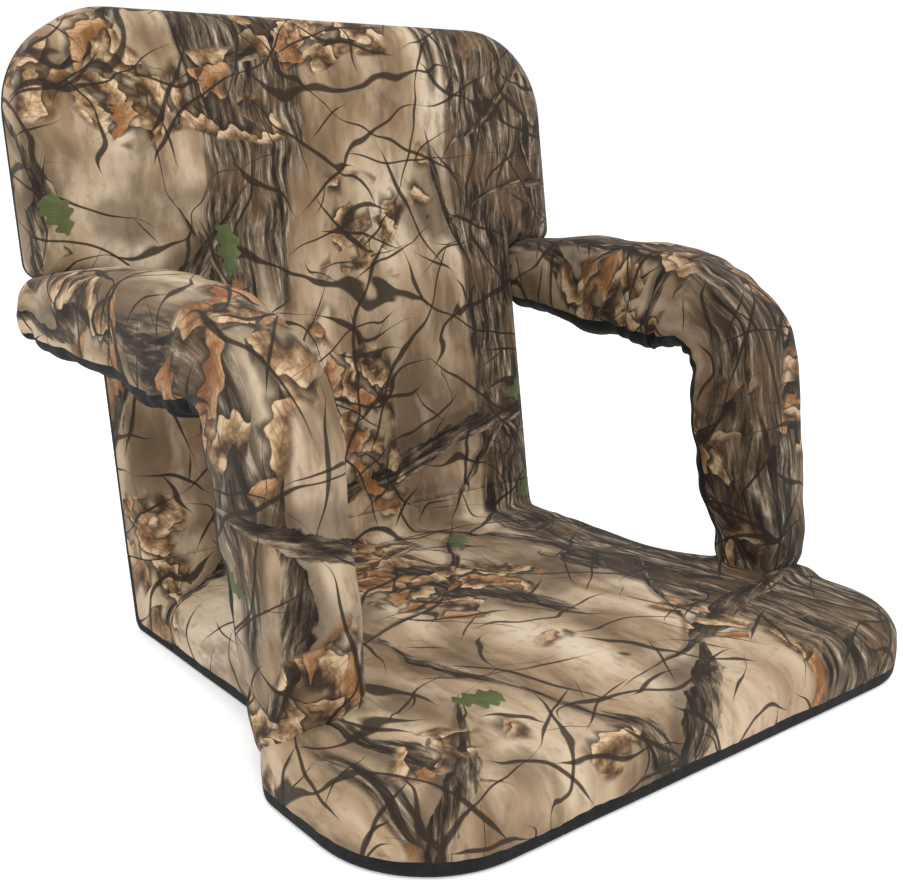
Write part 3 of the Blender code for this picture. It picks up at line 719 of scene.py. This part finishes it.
def crease_line():
    """Top of the fabric from the seat cushion's end, round the crease, to the back's foot."""
    crease_up = (SEAT_TOP - BACK_T * math.sin(RECLINE)) / math.cos(RECLINE)
    crease = on_back(crease_up, BACK_T)
    seat_way = np.array((-1.0, 0.0))
    back_way = on_back(1, 0) - on_back(0, 0)
    half = math.acos(seat_way @ back_way) / 2
    run = CREASE_RADIUS / math.tan(half)
    middle = (seat_way + back_way) / np.linalg.norm(seat_way + back_way)
    turn = arc_points(
        crease + middle * CREASE_RADIUS / math.sin(half),
        crease + seat_way * run, crease + back_way * run, 9,
    )
    return evenly(
        [np.array((SEAT_END, SEAT_TOP)), *turn, on_back(BACK_FOOT, BACK_T)], GUSSET_STEPS,
    )


def gusset():
    """Fabric round the hinge line: carries the cushions' end section from seat to back."""
    inner, inner_at = crease_line()
    heel, turn = on_back(0.0, 0.0), HEEL_RADIUS
    outer = [np.array((SEAT_END, 0.0)), *arc_points(
        heel + np.array((-turn, turn)), heel + np.array((-turn, 0.0)),
        heel + np.array((0.0, turn)), 7,
    )]
    outer, _ = evenly(outer + [on_back(BACK_FOOT, 0.0)], GUSSET_STEPS)
    x, high_share, drop, walk = section_points()
    points, places = [], []
    folds = Waves(0.030, seed=31, stretch=(1.0, 0.5))
    in_middle = smooth(WAIST - np.abs(x), 0.02, 0.05)
    for k in range(GUSSET_STEPS):
        up = inner[k] - outer[k]
        thick = np.linalg.norm(up)
        high = np.where(high_share > 0, thick * high_share - drop, drop)
        swell = (high_share == 1) * math.sin(math.pi * k / (GUSSET_STEPS - 1)) ** 2
        high += swell * in_middle * folds(x, inner_at[k] + 0 * x) * 0.0014
        spot = outer[k] + up / thick * high[:, None]
        points.append(np.column_stack([x, spot]))
        along = np.full(len(x), SEAT_END + inner_at[k])
        places.append(np.column_stack([x + np.sign(x) * walk, along]))
    points, places = np.array(points), np.array(places)
    low = high_share * (SEAT_TOP - drop) < SEAT_BAND
    kinds = list((low & np.roll(low, -1)).astype(int)) * (GUSSET_STEPS - 1) + [1, 1]
    faces = tube_faces(GUSSET_STEPS, len(x), False)
    return make_object(
        "hinge_gusset", points.reshape(-1, 3), faces, places.reshape(-1, 2), kinds, [CAMO, BLACK],
    )


def section_points():
    """Closed section of a cushion at its end, from the middle of its top.

    Each point has its x, its share of the thickness, its drop below that height (its rise, where
    the share is 0), and how much further out its place on the cloth lies.
    """
    across, deep = RIM
    over_rim, over_side = 0.021, 0.04
    ring = [(x, 1.0, 0.0, 0.0) for x in np.linspace(0, WAIST - across, 56)]
    for a in np.linspace(0, math.pi / 2, 10)[1:]:
        ring.append((
            WAIST - across * (1 - math.sin(a)), 1.0, deep * (1 - math.cos(a)),
            over_rim * a / 1.57,
        ))
    ring += [
        (WAIST, share, 0.0, 0.034 - 0.02 * share) for share in (0.45, 0.35, 0.25, 0.18, 0.12)
    ]
    ring += [
        (WAIST - LOW_RIM * (1 - math.cos(a)), 0.0, LOW_RIM * (1 - math.sin(a)), over_side)
        for a in np.linspace(0, math.pi / 2, 4)
    ]
    ring += [(x, 0.0, 0.0, over_side) for x in np.linspace(WAIST - 0.010, 0, 40)]
    left = [(-x, share, drop, walk) for x, share, drop, walk in reversed(ring[1:-1])]
    return np.array(ring + left).T


# ---- sleeves ------------------------------------------------------------------------------
# y and z of each armrest's upper and outer edge, from the arm's rear end over the elbow and
# down to the post's foot, and of its lower and inner edge, point for point
OUTER = [
    (0.289, 0.268), (0.285, 0.285), (0.268, 0.297), (0.240, 0.303), (0.205, 0.308), (0.165, 0.312),
    (0.120, 0.314), (0.070, 0.314), (0.030, 0.311), (-0.010, 0.303), (-0.042, 0.290),
    (-0.066, 0.271), (-0.083, 0.246), (-0.092, 0.214), (-0.099, 0.170), (-0.105, 0.125),
    (-0.109, 0.080), (-0.1065, 0.055), (-0.095, 0.034), (-0.083, 0.018),
]
INNER = [
    (0.288, 0.262), (0.280, 0.250), (0.262, 0.243), (0.240, 0.240), (0.205, 0.237), (0.165, 0.234),
    (0.125, 0.230), (0.082, 0.224), (0.050, 0.222), (0.022, 0.227), (0.004, 0.226),
    (-0.006, 0.216), (-0.0095, 0.200), (-0.0105, 0.181), (-0.014, 0.152), (-0.026, 0.115),
    (-0.044, 0.075), (-0.053, 0.045), (-0.063, 0.024), (-0.074, 0.014),
]
INSIDE_X = ((0.0, 0.209), (0.07, 0.208), (0.12, 0.194), (0.60, 0.196))   # along the armrest
OUTSIDE_X = ((0.0, 0.272), (0.08, 0.270), (0.16, 0.266), (0.60, 0.262))
ARM_WAY = (C - B) / np.linalg.norm(C - B)
SPLIT = (B + ARM_WAY * 0.050)[0]  # the arm's root ends here, in y
SLEEVE_STEP = 0.0028              # from one section to the next
AROUND = 96                       # points round a section
SQUARENESS = 3.6                  # power of the section's rounded square; 2 is an ellipse
THICK = 0.033                     # half thickness that folds and print are measured by
ROUND_END = 0.018                 # the rear end rounds off over this length
FOOT_TAPER = 0.026                # and the foot narrows over this one
UNDER = -0.62                     # black cloth below this depth: 1 is the outer face, -1 the inner
GATHER = 0.03                     # the cloth gathers about this near each end
ELBOW_Y = 0.01                    # where the inner elbow is pinched
ELBOW_SPREAD = 0.045
PLEAT = 0.019                     # from one pleat to the next


def sleeve_surface(side, seed):
    """Points and print places of a whole armrest, arm end to post foot.

    Also returns each column's depth in the section, 1 outside to -1 inside, and the middle line.
    """
    outer, inner = smooth_curve(OUTER), smooth_curve(INNER)
    middle = (outer + inner) / 2
    lengths = np.concatenate([[0], np.cumsum(np.linalg.norm(np.diff(middle, axis=0), axis=1))])
    at = np.linspace(0, lengths[-1], int(lengths[-1] / SLEEVE_STEP))
    outer = np.stack([np.interp(at, lengths, outer[:, k]) for k in (0, 1)], 1)
    inner = np.stack([np.interp(at, lengths, inner[:, k]) for k in (0, 1)], 1)
    turn = np.linspace(-math.pi / 2, 1.5 * math.pi, 1441)
    power = 2 / SQUARENESS
    full_x = np.sign(np.cos(turn)) * np.abs(np.cos(turn)) ** power
    full_y = np.sign(np.sin(turn)) * np.abs(np.sin(turn)) ** power
    girth = np.concatenate([[0], np.cumsum(np.hypot(np.diff(full_x), np.diff(full_y)))])
    spots = np.linspace(0, girth[-1], AROUND, endpoint=False)
    ex, ey = np.interp(spots, girth, full_x), np.interp(spots, girth, full_y)
    arc = THICK * (spots - girth[-1] / 2)
    middle = (outer + inner) / 2
    deep = np.linalg.norm(outer - inner, axis=1) / 2
    way = (outer - inner) / (2 * deep[:, None])
    inside = np.interp(at, *zip(*INSIDE_X))
    outside = np.interp(at, *zip(*OUTSIDE_X))
    round_end = np.sqrt(np.clip(1 - (1 - np.clip(at / ROUND_END, 0, 1)) ** 2, 0.05, 1))
    wide = (outside - inside) / 2 * (0.55 + 0.45 * round_end)
    wide *= 1 - 0.22 * smooth(at - lengths[-1], -FOOT_TAPER, 0.0)
    centre_x = (outside + inside) / 2

    # pleats at the inner elbow, gathers at both ends, broad lumps between
    elbow_at = np.interp(-ELBOW_Y, -middle[:, 0], at)
    elbow = np.exp(-((at - elbow_at) / ELBOW_SPREAD) ** 2)
    inward = smooth(-ey, 0.15, 0.9)
    u = at[:, None] + 0 * arc
    v = arc[None, :] + 0 * at[:, None]
    wobble = Waves(0.05, seed=seed)(u, v)
    crease = np.sin(u * TWO_PI / PLEAT + 0.9 * wobble)
    folds = -0.0040 * elbow[:, None] * inward[None, :] * (0.5 + 0.5 * crease)
    fine = Waves(0.022, seed=seed + 1, stretch=(1.0, 0.6))
    broad = Waves(0.07, seed=seed + 2)
    gathers = np.exp(-((at - lengths[-1] + GATHER) / GATHER) ** 2)
    gathers = gathers + 0.7 * np.exp(-((at - GATHER) / GATHER) ** 2)
    folds += fine(u, v) * (0.00035 + 0.0011 * elbow[:, None] + 0.0010 * gathers[:, None])
    folds += broad(u, v) * 0.0014
    folds *= 0.35 + 0.65 * smooth(-ey, -0.7, 0.5)[None, :]
    points = np.zeros((len(at), AROUND, 3))
    radial = 1 + folds / THICK
    cx = centre_x[:, None] + wide[:, None] * ex[None, :] * np.minimum(radial, 1.03)
    points[:, :, 0] = side * cx
    off = deep[:, None] * ey[None, :] * radial
    points[:, :, 1:] = middle[:, None, :] + way[:, None, :] * off[:, :, None]
    places = np.stack([side * v, -u], -1)
    return points, places, ey, middle


def tube_faces(rows, around, flip):
    """Faces of a closed tube: its sides row by row, then its two ends."""
    faces = []
    for k in range(rows - 1):
        for j in range(around):
            n = (j + 1) % around
            quad = (k * around + j, k * around + n, (k + 1) * around + n, (k + 1) * around + j)
            faces.append(tuple(reversed(quad)) if flip else quad)
    first, last = tuple(range(around)), tuple(range((rows - 1) * around, rows * around))
    faces.append(first if flip else tuple(reversed(first)))
    faces.append(tuple(reversed(last)) if flip else last)
    return faces


def armrest(prefix, side, material, seed):
    """One padded armrest in two pieces: its root on the back, and the sleeve of arm and post."""
    points, places, ey, middle = sleeve_surface(side, seed)
    split = int(np.argmax(middle[:, 0] < SPLIT))
    dark = list((ey < UNDER).astype(int))
    made = []
    for name, start, end in (("arm_root", 0, split + 1), ("sleeve", split, len(points))):
        part = points[start:end]
        made.append(make_object(
            f"{prefix}_{name}", part.reshape(-1, 3), tube_faces(len(part), AROUND, side > 0),
            places[start:end].reshape(-1, 2), dark * (len(part) - 1) + [1, 1], [material, BLACK],
        ))
    root, sleeve = made
    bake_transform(root)
    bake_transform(sleeve)
    return root, sleeve


# ---- build --------------------------------------------------------------------------------
seat_visual = seat_cushion()
back_visual = back_cushion()
hinge_visual = gusset()
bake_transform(hinge_visual)
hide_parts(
    "seat_cover", "seat_bottom_pan", "seat_foam", "left_post_boot", "right_post_boot",
)
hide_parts("back_cover", "back_rear_panel", "back_foam")
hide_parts("hinge_cover")
for prefix, side, material, seed in (("left", 1, CAMO_BARK, 20), ("right", -1, CAMO_LEAFY, 40)):
    root, sleeve = armrest(prefix, side, material, seed)
    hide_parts(f"{prefix}_arm_boot")
    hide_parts(f"{prefix}_arm_sleeve", f"{prefix}_post_sleeve")


# ---- metal inside -------------------------------------------------------------------------
def metal(name, colour, roughness, metallic):
    """Metal or paint with a faintly uneven tone."""
    g = Graph(name, roughness)
    worn = g.node("ShaderNodeTexNoise", 0, Scale=180.0, Detail=3.0)
    tone = g.ramp(worn, [(0.35, tuple(c * 0.8 for c in colour)), (0.65, colour)])
    g.put(g.shader.inputs["Base Color"], tone)
    g.shader.inputs["Metallic"].default_value = metallic
    return g.material


BLACK_STEEL = metal("powder_coated_steel", (0.03, 0.03, 0.03), 0.45, 0.0)
ZINC = metal("zinc_plated_steel", (0.55, 0.55, 0.53), 0.35, 1.0)
WEBBING = black_cloth("support_cloth", 0.05)
for name, node in frame["nodes"].items():
    slot = next(s["material_slot"] for s in frame["record"]["subparts"] if s["node"] == name)
    paint = {"black_steel": BLACK_STEEL, "zinc_steel": ZINC}.get(slot, WEBBING)
    node.data.materials.clear()
    node.data.materials.append(paint)


# ---- studio -------------------------------------------------------------------------------
WHITE = (1.0, 1.0, 1.0, 1.0)
FLOOR_DROP = 0.0005               # the floor lies this far below the seat's underside


def studio():
    """White surroundings, a floor that takes a soft shadow, and three lamps."""
    scene = bpy.context.scene
    scene.view_settings.view_transform = "Standard"
    world = bpy.data.worlds.new("studio")
    scene.world = world
    world.use_nodes = True
    world.node_tree.nodes["Background"].inputs[0].default_value = WHITE
    world.node_tree.nodes["Background"].inputs[1].default_value = 1.0
    g = Graph("backdrop", 1.0)
    g.shader.inputs["Base Color"].default_value = (0.85, 0.85, 0.85, 1.0)
    g.shader.inputs["Emission Color"].default_value = WHITE
    g.shader.inputs["Emission Strength"].default_value = 0.32
    bpy.ops.mesh.primitive_plane_add(size=400, location=(0, 0, -FLOOR_DROP))
    floor = bpy.context.active_object
    floor.name = "floor"
    floor.data.materials.append(g.material)
    for name, place, size, power in (
        ("key", (-1.2, -1.7, 2.4), 1.4, 38.0), ("fill", (2.1, -0.9, 1.4), 2.0, 6.0),
        ("top", (0.1, 0.5, 2.6), 1.6, 16.0),
    ):
        light = bpy.data.lights.new(name, "AREA")
        light.size = size
        light.energy = power
        holder = bpy.data.objects.new(name, light)
        scene.collection.objects.link(holder)
        holder.location = place
        aim = Vector((0, 0, 0.2)) - Vector(place)
        holder.rotation_euler = aim.to_track_quat("-Z", "Y").to_euler()


# fitted to the photo's outlines
CAMERA_AT = (-0.607, -0.6985, 0.415)
CAMERA_DEGREES = (-38.64, 14.66, 0.38)    # azimuth, elevation and roll
LENS, SENSOR = 48.92, 36.0                # in millimetres


def camera():
    azimuth, elevation, roll = (math.radians(angle) for angle in CAMERA_DEGREES)
    back = Vector((
        math.sin(azimuth) * math.cos(elevation), -math.cos(azimuth) * math.cos(elevation),
        math.sin(elevation),
    ))
    right = (-back).cross(Vector((0, 0, 1))).normalized()
    up = right.cross(-back)
    rolled_right = right * math.cos(roll) + up * math.sin(roll)
    rolled_up = up * math.cos(roll) - right * math.sin(roll)
    lens = bpy.data.cameras.new("camera")
    lens.lens = LENS
    lens.sensor_width = SENSOR
    holder = bpy.data.objects.new("camera", lens)
    bpy.context.scene.collection.objects.link(holder)
    turn = Matrix((rolled_right, rolled_up, back)).transposed().to_4x4()
    holder.matrix_world = Matrix.Translation(CAMERA_AT) @ turn
    bpy.context.scene.camera = holder


studio()
camera()
